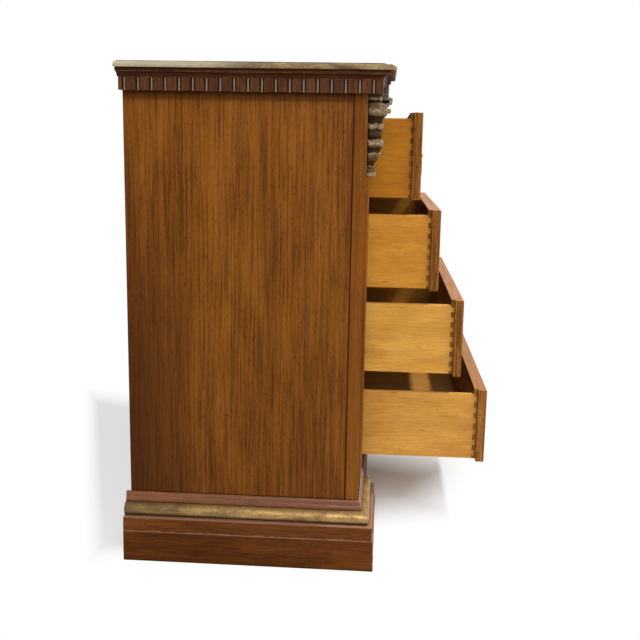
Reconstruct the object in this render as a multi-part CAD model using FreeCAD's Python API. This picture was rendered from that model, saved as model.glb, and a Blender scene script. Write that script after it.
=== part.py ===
import FreeCAD, Part
import math
import os

# A chest of four drawers between two projecting corner pilasters. X is the width, the front faces -Y and Z is up.
# The origin is on the floor, under the middle of the case. All sizes are in millimetres.

# Case
case_width = 1220.0
case_depth = 457.2
case_height = 960.0
side_panel_thickness = 20.0
pilaster_width = 185.0
pilaster_thickness = 25.0
field_margin = 30.0
field_rise = 5.0
field_round = 2.0
joint_chamfer = 1.6
corner_round = 1.6
tongue_thickness = 7.0
tongue_length = 9.0
back_panel_thickness = 8.0
back_rabbet_width = 10.0
middle_recess = 24.0
frame_stile_width = 37.4
frame_depth = 38.0
stile_lap = 30.0
rail_tenon_length = 8.0
rail_tenon_inset = 9.0
case_bottom_thickness = 18.0
bearer_width = 32.0

# Top board and its moulded edge
top_thickness = 12.7
top_recess = 12.0
top_back_overhang = 3.0
edge_overhang = 51.5
edge_flat_width = 30.9
edge_step_height = 2.8
edge_step_width = 2.0
edge_tip_height = 3.0
edge_tip_undercut = 2.0

# Cornice
fillet_height = 7.2
fillet_projection = 42.0
cove_height = 8.7
cornice_back_overhang = 2.0
dentil_height = 23.6
dentil_projection = 27.6
dentil_pitch = 25.4
dentil_groove_width = 8.6
dentil_groove_depth = 4.6
dentil_end_distance = 11.0
reed_radius = 2.3
frieze_thickness = 26.0
frieze_clearance = 5.0
fascia_projection = 15.0

# Corbels
corbel_height = 152.0
corbel_projection = 38.0
corbel_width = 96.0
corbel_foot_width = 78.0
leaf_roll_radius = 4.4
leaf_roll_width = 52.0
abacus_shares = ((0.0, 0.72), (0.06, 0.72))
volute_shares = ((0.06, 0.84), (0.11, 0.95), (0.18, 0.95), (0.24, 0.86), (0.27, 0.76))
collar_shares = ((0.29, 0.82), (0.39, 0.82))
swell_shares = ((0.41, 0.76), (0.50, 0.70), (0.575, 1.0), (0.66, 0.83), (0.69, 0.75))
band_shares = ((0.70, 0.81), (0.74, 0.79))
tail_shares = ((0.75, 0.72), (0.80, 0.52), (0.87, 0.32))
foot_shares = ((0.90, 0.54), (0.95, 0.50), (1.0, 0.42))
leaf_roll_height_share = 0.205
leaf_roll_reach_share = 1.04

# Base
plinth_height = 62.5
plinth_projection = 35.1
plinth_round = 3.0
step_height = 28.0
step_projection = 33.0
step_round = 4.0
torus_height = 24.5
torus_projection = 24.0
torus_foot_projection = 20.0
torus_head_projection = 9.0
torus_nose_height = 6.5
ogee_height = 19.5
ogee_projection = 9.0
ogee_top_projection = 3.0
base_back_overhang = 8.6

# Drawers, from the top one down
drawer_names = ("top_drawer", "upper_drawer", "lower_drawer", "bottom_drawer")
drawer_height_shares = (0.2635, 0.2524, 0.2455, 0.2386)
drawer_gaps = (62.9, 20.6, 19.6, 28.8)
drawer_base_gap = 16.4
drawer_openings = (116.3, 161.5, 218.0, 276.4)
drawer_side_clearance = 2.0
drawer_top_clearance = 2.0
drawer_ride_clearance = 0.3
drawer_stop_clearance = 0.5
lip_thickness = 17.8
lip_overlap = 11.0
lip_round = 2.5
front_inner_thickness = 8.2
side_thickness = 12.7
side_length = 405.0
side_bottom_rise = 3.0
side_top_drop = 11.5
side_top_round = 5.0
tail_pitch = 21.2
tail_length = 6.8
tail_neck_share = 0.40
tail_tip_share = 0.54
drawer_back_thickness = 12.7
drawer_back_drop = 6.0
drawer_back_set_in = 14.0
drawer_back_dado = 5.0
drawer_bottom_thickness = 6.4
drawer_bottom_rise = 12.0
drawer_bottom_groove = 6.0
runner_width = 20.0
runner_height = 18.0

# Ring pulls
pull_distance = 350.0
rosette_radius = 24.0
rosette_rim_thickness = 1.2
rosette_thickness = 3.0
rosette_bead_share = 0.92
rosette_hollow_share = 0.78
rosette_crown_share = 0.56
eye_radius = 4.4
eye_length = 6.0
eye_standoff = 7.0
ring_wire_radius = 2.0
ring_radius = 21.0
ring_play = 0.4

# One overrun serves every cut, and one tolerance every search for an edge
overrun = 5.0
edge_tolerance = 0.02
parallel_share = 0.999
diagonal_share = math.sqrt(2) / 2

Vector = FreeCAD.Vector
ORIGIN = Vector(0, 0, 0)
X_AXIS = Vector(1, 0, 0)
Y_AXIS = Vector(0, 1, 0)
Z_AXIS = Vector(0, 0, 1)

half_width = case_width / 2
front_y = -case_depth / 2
back_y = case_depth / 2
center_half = half_width - pilaster_width
pilaster_back_y = front_y + pilaster_thickness
middle_y = front_y + middle_recess
frame_back_y = middle_y + frame_depth
opening_half = center_half - frame_stile_width
dentil_top = case_height - fillet_height - cove_height
dentil_bottom = dentil_top - dentil_height
corbel_bottom = dentil_bottom - corbel_height
base_top = plinth_height + step_height + torus_height + ogee_height
plan_reach = case_width + case_depth
mitre_reach = center_half / 2


def box(x0, x1, y0, y1, z0, z1):
    """Solid box between two corners."""
    return Part.makeBox(x1 - x0, y1 - y0, z1 - z0, Vector(x0, y0, z0))


def mirrored(shape):
    """Copy of a shape on the other side of the chest."""
    return shape.mirror(ORIGIN, X_AXIS)


def with_mirror(shapes):
    """Compound of shapes on the left and their mirror images on the right."""
    return Part.makeCompound(list(shapes) + [mirrored(shape) for shape in shapes])


def line(start, end):
    return Part.LineSegment(start, end).toShape()


def arc(start, middle, end):
    return Part.Arc(start, middle, end).toShape()


def polygon_face(points):
    return Part.Face(Part.makePolygon(list(points) + [points[0]]))


def side_prism(points, x0, x1):
    """Prism along X over an outline of (y, z) points."""
    face = polygon_face([Vector(x0, y, z) for y, z in points])
    return face.extrude(X_AXIS * (x1 - x0))


def plan_prism(points, z0, z1):
    """Prism along Z over an outline of (x, y) points."""
    face = polygon_face([Vector(x, y, z0) for x, y in points])
    return face.extrude(Z_AXIS * (z1 - z0))


def edges_along(shape, axis, accept):
    """Straight edges of a shape that run along an axis and whose middle is accepted."""
    found = []
    for edge in shape.Edges:
        first, last = edge.Vertexes[0].Point, edge.Vertexes[-1].Point
        run = last - first
        if run.Length > 0 and abs(run.dot(axis)) > run.Length * parallel_share:
            if accept((first + last) / 2):
                found.append(edge)
    return found


def near(value, target):
    return abs(value - target) < edge_tolerance


# Mouldings: a profile has (projection, height) points in the XZ plane and is run along straight lengths

def quarter(start, end, hollow):
    """Quarter ellipse between two profile points, approached by an arc, hollow or round."""
    step = end - start
    near_share, far_share = 1 - diagonal_share, diagonal_share
    if hollow:
        middle = start + Vector(step.x * near_share, 0, step.z * far_share)
    else:
        middle = start + Vector(step.x * far_share, 0, step.z * near_share)
    return arc(start, middle, end)


def profile_point(projection, height):
    return Vector(projection, 0, height)


def profile_face(edges):
    return Part.Face(Part.Wire(Part.__sortEdges__(edges)))


def moulding_run(profile, start, end, start_mitre, end_mitre):
    """Length of moulding between two plan points, with its ends cut along the mitre lines."""
    along = (end - start).normalize()
    length = (end - start).Length
    turn = math.degrees(math.atan2(-along.x, along.y))
    section = profile.copy()
    section.rotate(ORIGIN, Z_AXIS, turn)
    section.translate(start - along * plan_reach)
    bar = section.extrude(along * (length + plan_reach * 2))
    corners = [
        start - start_mitre * overrun,
        start + start_mitre * mitre_reach,
        end + end_mitre * mitre_reach,
        end - end_mitre * overrun,
    ]
    keep = plan_prism([(corner.x, corner.y) for corner in corners], -overrun, case_height + plan_reach)
    return bar.common(keep).Solids[0]


LEFT_MITRE = Vector(-1, -1, 0).normalize()
RIGHT_MITRE = Vector(1, -1, 0).normalize()


def corner_runs(profile, back_overhang, recess, end_mitre):
    """Mouldings of the left side, of the left pilaster and of its return to the recessed middle."""
    back = Vector(-half_width, back_y + back_overhang, 0)
    corner = Vector(-half_width, front_y, 0)
    inner = Vector(-center_half, front_y, 0)
    recessed = Vector(-center_half, front_y + recess, 0)
    side = moulding_run(profile, back, corner, -X_AXIS, LEFT_MITRE)
    wing = moulding_run(profile, corner, inner, LEFT_MITRE, RIGHT_MITRE)
    step = moulding_run(profile, inner, recessed, RIGHT_MITRE, end_mitre)
    return side, wing, step


def side_runs(profile, back_overhang):
    """Mouldings of the left side and of the left pilaster, with a return that ends at the middle."""
    side, wing, step = corner_runs(profile, back_overhang, middle_recess, X_AXIS)
    return side, wing.fuse(step).removeSplitter().Solids[0]


def stepped_runs(profile, back_overhang, recess):
    """Left, front and right mouldings, with the front one stepping back across the middle."""
    left, wing, step = corner_runs(profile, back_overhang, recess, RIGHT_MITRE)
    start = Vector(-center_half, front_y + recess, 0)
    end = Vector(center_half, front_y + recess, 0)
    middle = moulding_run(profile, start, end, RIGHT_MITRE, LEFT_MITRE)
    front = middle.multiFuse([wing, step, mirrored(wing), mirrored(step)]).removeSplitter()
    return Part.makeCompound([left, front.Solids[0], mirrored(left)])


def top_edge_moulding():
    """Flat border, small step and ovolo round the top board."""
    top = case_height + top_thickness
    step_foot = profile_point(edge_flat_width, top - edge_step_height)
    ovolo_top = profile_point(edge_flat_width + edge_step_width, top - edge_step_height)
    tip = profile_point(edge_overhang, case_height + edge_tip_height)
    under = profile_point(edge_overhang - edge_tip_undercut, case_height)
    back_low = profile_point(0, case_height)
    back_high = profile_point(0, top)
    step_head = profile_point(edge_flat_width, top)
    profile = profile_face([
        line(back_low, under),
        line(under, tip),
        quarter(ovolo_top, tip, False),
        line(ovolo_top, step_foot),
        line(step_foot, step_head),
        line(step_head, back_high),
        line(back_high, back_low),
    ])
    return stepped_runs(profile, top_back_overhang, top_recess)


def cornice_moulding():
    """Fillet over a cove, on the sides and on the pilasters."""
    cove_foot = profile_point(dentil_projection, dentil_top)
    cove_head = profile_point(fillet_projection, dentil_top + cove_height)
    fillet_head = profile_point(fillet_projection, case_height)
    back_high = profile_point(0, case_height)
    back_low = profile_point(0, dentil_top)
    profile = profile_face([
        quarter(cove_foot, cove_head, True),
        line(cove_head, fillet_head),
        line(fillet_head, back_high),
        line(back_high, back_low),
        line(back_low, cove_foot),
    ])
    return with_mirror(side_runs(profile, cornice_back_overhang))


def rectangle_profile(projection, low, high):
    return polygon_face([
        profile_point(0, low),
        profile_point(projection, low),
        profile_point(projection, high),
        profile_point(0, high),
    ])


def dentil_count(length):
    return int((length - dentil_end_distance * 2) / dentil_pitch) + 1


def dentil_band():
    """Band of square dentils, with a thin reed standing in each groove between them."""
    side, front = side_runs(rectangle_profile(dentil_projection, dentil_bottom, dentil_top), 0)
    half_groove = dentil_groove_width / 2
    side_face = -half_width - dentil_projection
    front_face = front_y - dentil_projection
    low, high = dentil_bottom - overrun, dentil_top + overrun
    side_reeds, front_reeds = [], []
    side_grooves, front_grooves = [], []
    for place in range(dentil_count(case_depth + dentil_projection)):
        y = back_y - dentil_end_distance - dentil_pitch * place
        floor_x = side_face + dentil_groove_depth
        side_grooves.append(box(side_face - overrun, floor_x, y - half_groove, y + half_groove, low, high))
        side_reeds.append(Part.makeCylinder(reed_radius, dentil_height, Vector(floor_x, y, dentil_bottom)))
    front_length = pilaster_width + dentil_projection * 2
    front_count = dentil_count(front_length)
    first_x = side_face + (front_length - dentil_pitch * (front_count - 1)) / 2
    for place in range(front_count):
        x = first_x + dentil_pitch * place
        floor_y = front_face + dentil_groove_depth
        front_grooves.append(box(x - half_groove, x + half_groove, front_face - overrun, floor_y, low, high))
        front_reeds.append(Part.makeCylinder(reed_radius, dentil_height, Vector(x, floor_y, dentil_bottom)))
    side = side.cut(Part.makeCompound(side_grooves)).multiFuse(side_reeds)
    front = front.cut(Part.makeCompound(front_grooves)).multiFuse(front_reeds)
    return with_mirror([side.Solids[0], front.Solids[0]])


def cornice_fascia(cornice):
    """Square fascia under the top board across the middle, coped against the cornice returns."""
    face_y = middle_y - frieze_thickness - fascia_projection
    fascia = box(-center_half, center_half, face_y, middle_y, dentil_top, case_height)
    return fascia.cut(cornice).Solids[0]


def frieze_board():
    """Plain board between the fascia and the top drawer, from one dentil return to the other."""
    reach = center_half - dentil_projection
    low = levels[0][1] + frieze_clearance
    return box(-reach, reach, middle_y - frieze_thickness, middle_y, low, dentil_top)


def corbel():
    """Carved bracket on the left pilaster: its scrolled profile, tapered towards the foot."""
    middle_x = -half_width + pilaster_width / 2
    start_x = middle_x - corbel_width / 2

    def places(shares):
        return [
            Vector(start_x, front_y - corbel_projection * reach, dentil_bottom - corbel_height * drop)
            for drop, reach in shares
        ]

    edges = []
    last = None
    for shares, smooth in (
        (abacus_shares, False),
        (volute_shares, True),
        (collar_shares, False),
        (swell_shares, True),
        (band_shares, False),
        (tail_shares, True),
        (foot_shares, True),
    ):
        points = places(shares)
        if last is not None:
            edges.append(line(last, points[0]))
        if smooth:
            curve = Part.BSplineCurve()
            curve.interpolate(points)
            edges.append(curve.toShape())
        else:
            edges.append(line(points[0], points[1]))
        last = points[-1]
    first = places(abacus_shares)[0]
    back_low = Vector(start_x, front_y, last.z)
    back_high = Vector(start_x, front_y, dentil_bottom)
    edges += [line(last, back_low), line(back_low, back_high), line(back_high, first)]
    body = profile_face(edges).extrude(X_AXIS * corbel_width)
    roll_y = front_y - corbel_projection * leaf_roll_reach_share
    roll_z = dentil_bottom - corbel_height * leaf_roll_height_share
    roll_start = Vector(middle_x - leaf_roll_width / 2, roll_y, roll_z)
    roll = Part.makeCylinder(leaf_roll_radius, leaf_roll_width, roll_start, X_AXIS)
    body = body.fuse(roll)
    head, foot = corbel_width / 2, corbel_foot_width / 2
    top, bottom = dentil_bottom + overrun, corbel_bottom - overrun
    taper = polygon_face([
        Vector(middle_x - head, front_y + overrun, top),
        Vector(middle_x + head, front_y + overrun, top),
        Vector(middle_x + foot, front_y + overrun, bottom),
        Vector(middle_x - foot, front_y + overrun, bottom),
    ]).extrude(-Y_AXIS * (corbel_projection * 2 + overrun))
    return body.common(taper).Solids[0]


def plinth_board():
    profile = rectangle_profile(plinth_projection, 0, plinth_height)
    return stepped_runs(rounded_profile(profile, plinth_projection, plinth_height, plinth_round),
                        base_back_overhang, middle_recess)


def plinth_step():
    top = plinth_height + step_height
    profile = rectangle_profile(step_projection, plinth_height, top)
    return stepped_runs(rounded_profile(profile, step_projection, top, step_round),
                        base_back_overhang, middle_recess)


def rounded_profile(profile, projection, height, radius):
    """Profile with its outer upper corner rounded."""
    corner = box(projection - radius, projection + overrun, -overrun, overrun, height - radius, height + overrun)
    center = profile_point(projection - radius, height - radius) - Y_AXIS * overrun
    keep = Part.makeCylinder(radius, overrun * 2, center, Y_AXIS)
    return profile.cut(corner.cut(keep)).Faces[0]


def base_torus():
    """Round moulding that leans outwards, fullest near its foot."""
    low = plinth_height + step_height
    high = low + torus_height
    foot = profile_point(torus_foot_projection, low)
    nose = profile_point(torus_projection, low + torus_nose_height)
    head = profile_point(torus_head_projection, high)
    profile = profile_face([
        line(profile_point(0, low), foot),
        arc(foot, nose, head),
        line(head, profile_point(0, high)),
        line(profile_point(0, high), profile_point(0, low)),
    ])
    return stepped_runs(profile, base_back_overhang, middle_recess)


def base_ogee():
    low = plinth_height + step_height + torus_height
    high = low + ogee_height
    middle = profile_point((ogee_projection + ogee_top_projection) / 2, low + ogee_height / 2)
    foot = profile_point(ogee_projection, low)
    head = profile_point(ogee_top_projection, high)
    profile = profile_face([
        line(profile_point(0, low), foot),
        quarter(middle, foot, False),
        quarter(middle, head, True),
        line(head, profile_point(0, high)),
        line(profile_point(0, high), profile_point(0, low)),
    ])
    return stepped_runs(profile, base_back_overhang, middle_recess)


# Drawer levels, from the top of the case down

def drawer_levels():
    """Bottom and top height of each drawer front, sharing the height that the gaps leave."""
    levels = []
    top = case_height
    space = case_height - sum(drawer_gaps) - base_top - drawer_base_gap
    for share, gap in zip(drawer_height_shares, drawer_gaps):
        height = space * share / sum(drawer_height_shares)
        top -= gap
        levels.append((top - height, top))
        top -= height
    return levels


levels = drawer_levels()
runner_tops = [low + side_bottom_rise - drawer_ride_clearance for low, high in levels]
case_floor_top = runner_tops[-1] - runner_height
case_floor_bottom = case_floor_top - case_bottom_thickness


def side_panel():
    """Left side, tongued into the pilaster at the front and rabbeted for the back."""
    outer, inner = -half_width, -half_width + side_panel_thickness
    panel = box(outer, inner, pilaster_back_y, back_y, 0, case_height)
    tongue_start = outer + (side_panel_thickness - tongue_thickness) / 2
    panel = panel.fuse(box(tongue_start, tongue_start + tongue_thickness,
                           pilaster_back_y - tongue_length, pilaster_back_y, 0, case_height))
    panel = panel.cut(box(outer + back_rabbet_width, inner + overrun,
                          back_y - back_panel_thickness, back_y + overrun, -overrun, case_height + overrun))
    arris = edges_along(panel, Z_AXIS, lambda p: near(p.x, outer) and near(p.y, pilaster_back_y))
    return panel.makeChamfer(joint_chamfer, arris).removeSplitter()


def pilaster(panel):
    """Left front board with a raised field, grooved for the side's tongue and chamfered beside the side."""
    outer = -half_width
    board = box(outer, -center_half, front_y, pilaster_back_y, 0, case_height)
    arris = edges_along(board, Z_AXIS, lambda p: near(p.x, outer) and near(p.y, pilaster_back_y))
    board = board.makeChamfer(joint_chamfer, arris)
    corner = edges_along(board, Z_AXIS, lambda p: near(p.x, outer) and near(p.y, front_y))
    board = board.makeFillet(corner_round, corner)
    field_y = front_y - field_rise
    field = box(outer + field_margin, -center_half - field_margin, field_y, front_y,
                base_top + field_margin, corbel_bottom - field_margin)
    field_edges = [edge for edge in field.Edges if near(edge.CenterOfMass.y, field_y)]
    return board.fuse(field.makeFillet(field_round, field_edges)).removeSplitter().cut(panel).Solids[0]


def rail(low, high):
    """Front rail with a stub tenon at each end."""
    body = box(-opening_half, opening_half, middle_y, frame_back_y, low, high)
    tenon_front = middle_y + rail_tenon_inset
    tenon_back = frame_back_y - rail_tenon_inset
    reach = opening_half + rail_tenon_length
    return body.fuse(box(-reach, reach, tenon_front, tenon_back, low, high)).removeSplitter()


def rails():
    """Top rail, the rails between the drawers and the bottom rail."""
    found = {"top_rail": rail(levels[0][1] + drawer_top_clearance, case_height)}
    for name, above, below in zip(("upper_drawer_rail", "middle_drawer_rail", "lower_drawer_rail"),
                                  runner_tops, levels[1:]):
        found[name] = rail(below[1] + drawer_top_clearance, above)
    found["bottom_rail"] = rail(0, runner_tops[-1])
    return found


def frame_stile(rail_pieces):
    """Left stile of the drawer frame, lapped behind the pilaster and mortised for the rails."""
    stile = box(-center_half, -opening_half, middle_y, frame_back_y, 0, case_height)
    lap = box(-center_half - stile_lap, -opening_half, pilaster_back_y, frame_back_y, 0, case_height)
    return stile.fuse(lap).removeSplitter().cut(Part.makeCompound(rail_pieces)).Solids[0]


def partition():
    """Left board between the drawers and the hollow behind the pilaster."""
    return box(-center_half, -opening_half, frame_back_y, back_y - back_panel_thickness,
               case_floor_top, case_height)


def runners():
    """Runners on the left partition, one under each drawer."""
    return Part.makeCompound([
        box(-opening_half, -opening_half + runner_width, frame_back_y, back_y - back_panel_thickness,
            top - runner_height, top)
        for top in runner_tops
    ])


def back_panel():
    reach = half_width - back_rabbet_width
    return box(-reach, reach, back_y - back_panel_thickness, back_y, 0, case_height)


def case_bottom():
    reach = half_width - side_panel_thickness
    return box(-reach, reach, frame_back_y, back_y - back_panel_thickness, case_floor_bottom, case_floor_top)


def floor_bearers():
    """Boards on edge under the partitions and under the middle; the middle one stands over the origin."""
    return Part.makeCompound([
        box(start, end, frame_back_y, back_y - back_panel_thickness, 0, case_floor_bottom)
        for start, end in (
            (-center_half, -opening_half),
            (-bearer_width / 2, bearer_width / 2),
            (opening_half, center_half),
        )
    ])


def top_board():
    """Board inside the moulded edge, with the same step back at the front."""
    outline = [
        (-half_width, back_y + top_back_overhang),
        (-half_width, front_y),
        (-center_half, front_y),
        (-center_half, front_y + top_recess),
        (center_half, front_y + top_recess),
        (center_half, front_y),
        (half_width, front_y),
        (half_width, back_y + top_back_overhang),
    ]
    return plan_prism(outline, case_height, case_height + top_thickness)


# Drawers

box_half = opening_half - drawer_side_clearance
lip_half = opening_half + lip_overlap
closed_face_y = middle_y - lip_thickness - drawer_stop_clearance


def dovetailed_side(low, high, shoulder_y):
    """Left drawer side, with tails along its front end and a rounded top edge."""
    height = high - low
    count = int(height / tail_pitch)
    pitch = height / count
    neck, tip = pitch * tail_neck_share / 2, pitch * tail_tip_share / 2
    tip_y = shoulder_y - tail_length
    outline = [(shoulder_y + side_length, low), (shoulder_y, low)]
    for place in range(count):
        middle = low + pitch * (place * 2 + 1) / 2
        outline += [(shoulder_y, middle - neck), (tip_y, middle - tip)]
        outline += [(tip_y, middle + tip), (shoulder_y, middle + neck)]
    outline += [(shoulder_y, high), (shoulder_y + side_length, high)]
    side = side_prism(outline, -box_half, -box_half + side_thickness)
    top_edges = edges_along(side, Y_AXIS, lambda p: near(p.z, high))
    return side.makeFillet(side_top_round, top_edges)


def drawer(low, high, opening):
    """Front, pair of sides, back and bottom of one drawer, drawn out by its opening."""
    face_y = closed_face_y - opening
    lip_back_y = face_y + lip_thickness
    shoulder_y = lip_back_y + front_inner_thickness
    side_low, side_high = low + side_bottom_rise, high - side_top_drop
    side_end_y = shoulder_y + side_length
    inner_half = box_half - side_thickness
    back_front_y = side_end_y - drawer_back_set_in - drawer_back_thickness
    floor_low = side_low + drawer_bottom_rise
    floor_high = floor_low + drawer_bottom_thickness

    left = dovetailed_side(side_low, side_high, shoulder_y)
    floor_half = inner_half + drawer_bottom_groove
    floor = box(-floor_half, floor_half, shoulder_y - drawer_bottom_groove, side_end_y, floor_low, floor_high)
    back_half = inner_half + drawer_back_dado
    back = box(-back_half, back_half, back_front_y, back_front_y + drawer_back_thickness,
               floor_high, side_high - drawer_back_drop)
    lip = box(-lip_half, lip_half, face_y, lip_back_y, low, high)
    lip_edges = [edge for edge in lip.Edges if near(edge.CenterOfMass.y, face_y)]
    lip = lip.makeFillet(lip_round, lip_edges)
    front = lip.fuse(box(-box_half, box_half, lip_back_y, shoulder_y, side_low, high))
    right = mirrored(left)
    front = front.cut(Part.makeCompound([left, right, floor])).removeSplitter()
    left = left.cut(Part.makeCompound([floor, back]))
    right = right.cut(Part.makeCompound([floor, back]))
    sides = Part.makeCompound([left.Solids[0], right.Solids[0]])
    return {"front": front.Solids[0], "sides": sides, "back": back, "bottom": floor}


def rosette(x, face_y, z):
    """Turned plate with the eye that the ring hangs in."""
    radius, depth = rosette_radius, rosette_thickness
    points = [
        (0, 0),
        (radius, 0),
        (radius, rosette_rim_thickness),
        (radius * rosette_bead_share, (depth + rosette_rim_thickness) / 2),
        (radius * rosette_hollow_share, rosette_rim_thickness),
        (radius * rosette_crown_share, depth),
        (0, depth),
    ]
    face = polygon_face([Vector(x + reach, face_y - height, z) for reach, height in points])
    plate = face.revolve(Vector(x, face_y, z), Y_AXIS, 360)
    start = Vector(x - eye_length / 2, face_y - eye_standoff, z)
    eye = Part.makeCylinder(eye_radius, eye_length, start, X_AXIS)
    neck = box(x - eye_length / 2, x + eye_length / 2, face_y - eye_standoff,
               face_y - depth / 2, z - eye_radius, z + eye_radius)
    bore_radius = ring_wire_radius + ring_play
    bore = Part.makeCylinder(bore_radius, eye_length + overrun * 2, start - X_AXIS * overrun, X_AXIS)
    return plate.multiFuse([eye, neck]).cut(bore).removeSplitter().Solids[0]


def ring(x, face_y, z):
    """Ring hanging in the eye of its rosette."""
    center = Vector(x, face_y - eye_standoff, z - ring_radius)
    return Part.makeTorus(ring_radius, ring_wire_radius, center, Y_AXIS)


def all_pieces():
    """Every piece of the chest by name."""
    panel = side_panel()
    board = pilaster(panel)
    rail_pieces = rails()
    stile = frame_stile(list(rail_pieces.values()))
    bracket = corbel()
    cornice = cornice_moulding()
    pieces = {
        "left_side_panel": panel,
        "right_side_panel": mirrored(panel),
        "left_pilaster": board,
        "right_pilaster": mirrored(board),
        "left_frame_stile": stile,
        "right_frame_stile": mirrored(stile),
        "left_partition": partition(),
        "right_partition": mirrored(partition()),
        "left_runners": runners(),
        "right_runners": mirrored(runners()),
        "back_panel": back_panel(),
        "case_bottom": case_bottom(),
        "floor_bearers": floor_bearers(),
        "top_board": top_board(),
        "top_edge_moulding": top_edge_moulding(),
        "cornice_moulding": cornice,
        "dentil_band": dentil_band(),
        "cornice_fascia": cornice_fascia(cornice),
        "frieze_board": frieze_board(),
        "left_corbel": bracket,
        "right_corbel": mirrored(bracket),
        "plinth_board": plinth_board(),
        "plinth_step": plinth_step(),
        "base_torus": base_torus(),
        "base_ogee": base_ogee(),
    }
    pieces.update(rail_pieces)
    for name, (low, high), opening in zip(drawer_names, levels, drawer_openings):
        for part_name, shape in drawer(low, high, opening).items():
            pieces[name + "_" + part_name] = shape
        face_y = closed_face_y - opening
        z = (low + high) / 2
        left_x, right_x = -pull_distance / 2, pull_distance / 2
        pieces[name + "_rosettes"] = Part.makeCompound([rosette(left_x, face_y, z), rosette(right_x, face_y, z)])
        pieces[name + "_left_ring"] = ring(left_x, face_y, z)
        pieces[name + "_right_ring"] = ring(right_x, face_y, z)
    return pieces


os.makedirs("parts", exist_ok=True)
for piece_name, piece_shape in all_pieces().items():
    piece_shape.exportStep("parts/" + piece_name + ".step")
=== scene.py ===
# %% [markdown]
# A chest of four drawers, seen from its left side with the drawers drawn out.
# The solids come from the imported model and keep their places. This lesson gives them their wood,
# gilding and brass, and adds the carving that the solids only rough out.

# %% Load the chest
import math
import bpy
import bmesh
from mathutils import Matrix, Vector


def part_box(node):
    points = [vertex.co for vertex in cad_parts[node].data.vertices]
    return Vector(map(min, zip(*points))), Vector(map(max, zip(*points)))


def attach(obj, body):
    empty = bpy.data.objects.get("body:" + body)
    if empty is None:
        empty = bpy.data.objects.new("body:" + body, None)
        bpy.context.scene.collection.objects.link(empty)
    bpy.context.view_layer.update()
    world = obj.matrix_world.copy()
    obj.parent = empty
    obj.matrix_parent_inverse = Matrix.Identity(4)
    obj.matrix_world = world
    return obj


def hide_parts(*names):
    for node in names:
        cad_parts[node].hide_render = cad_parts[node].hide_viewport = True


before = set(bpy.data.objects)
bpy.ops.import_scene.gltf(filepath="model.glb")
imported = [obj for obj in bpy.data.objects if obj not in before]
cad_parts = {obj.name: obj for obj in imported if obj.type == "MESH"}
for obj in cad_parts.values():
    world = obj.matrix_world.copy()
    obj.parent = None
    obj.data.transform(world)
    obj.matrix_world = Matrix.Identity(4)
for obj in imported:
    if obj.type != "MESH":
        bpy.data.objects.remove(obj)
scene = bpy.context.scene
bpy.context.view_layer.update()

# %% [markdown]
# The camera stands off the chest's left side, about level with its front, lower than its top, and looks
# slightly down. A camera can be turned by angles or by its three directions. The directions are used here,
# because they say plainly which way is right, up and back in the picture.

# %% Camera
LENS_MM = 50.98
SENSOR_MM = 36.0
CAMERA_PLACE = (-2.3178, -0.2642, 0.8222)
PICTURE_RIGHT = Vector((0.07121, -0.99730, 0.01791))
PICTURE_UP = Vector((0.18492, 0.03084, 0.98227))
PICTURE_BACK = Vector((-0.98017, -0.06664, 0.18662))
camera_data = bpy.data.cameras.new("side_camera")
camera_data.lens = LENS_MM
camera_data.sensor_width = SENSOR_MM
camera = bpy.data.objects.new("side_camera", camera_data)
scene.collection.objects.link(camera)
turn = Matrix((PICTURE_RIGHT, PICTURE_UP, PICTURE_BACK)).transposed().to_4x4()
camera.matrix_world = Matrix.Translation(CAMERA_PLACE) @ turn
scene.camera = camera
print("camera at", [round(v, 3) for v in camera.matrix_world.translation])

# %% [markdown]
# The room is a white studio. Its surrounding could be one plain colour, but then it would light the chest as
# strongly as it shows. So the picture and the reflections see white, and the wood is lit by a weaker grey.
# The Light Path node tells what a ray is for. Two helpers come first: one makes and wires a Math node in a
# single line, and the other uses it to find the rays that are seen.

# %% Seen rays
def add_math(tree, operation, first, second=0.0):
    """Math node between two sockets or numbers."""
    node = tree.nodes.new("ShaderNodeMath")
    node.operation = operation
    for place, value in enumerate((first, second)):
        if isinstance(value, (int, float)):
            node.inputs[place].default_value = value
        else:
            tree.links.new(value, node.inputs[place])
    return node.outputs[0]


def seen_rays(tree):
    """One for the rays of the picture and of reflections, none for those that only carry light."""
    rays = tree.nodes.new("ShaderNodeLightPath").outputs
    seen = add_math(tree, "MAXIMUM", rays["Is Camera Ray"], rays["Is Glossy Ray"])
    return add_math(tree, "MAXIMUM", seen, rays["Is Transmission Ray"])


print("ray helpers ready")

# %% Studio surround
LIGHTING_GREY = 0.36
SHOWN_WHITE = 1.0
scene.view_settings.view_transform = "Standard"
world = bpy.data.worlds.new("white_studio")
scene.world = world
world.use_nodes = True
tree = world.node_tree
tree.nodes.clear()


def white_background(strength):
    """White surrounding of one strength."""
    background = tree.nodes.new("ShaderNodeBackground")
    background.inputs["Color"].default_value = (1.0, 1.0, 1.0, 1.0)
    background.inputs["Strength"].default_value = strength
    return background.outputs[0]


surround_mix = tree.nodes.new("ShaderNodeMixShader")
tree.links.new(seen_rays(tree), surround_mix.inputs[0])
tree.links.new(white_background(LIGHTING_GREY), surround_mix.inputs[1])
tree.links.new(white_background(SHOWN_WHITE), surround_mix.inputs[2])
surround_out = tree.nodes.new("ShaderNodeOutputWorld")
tree.links.new(surround_mix.outputs[0], surround_out.inputs["Surface"])
print("surround", world.name)

# %% [markdown]
# Two large lamps light the side, and their size keeps them soft. A small one in front and above shines down
# between the drawer fronts, and leaves pale strips inside the drawers. A lamp could be turned by angles.
# It is plainer to name the point of the chest that it faces, and to let Blender find the turn.

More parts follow.
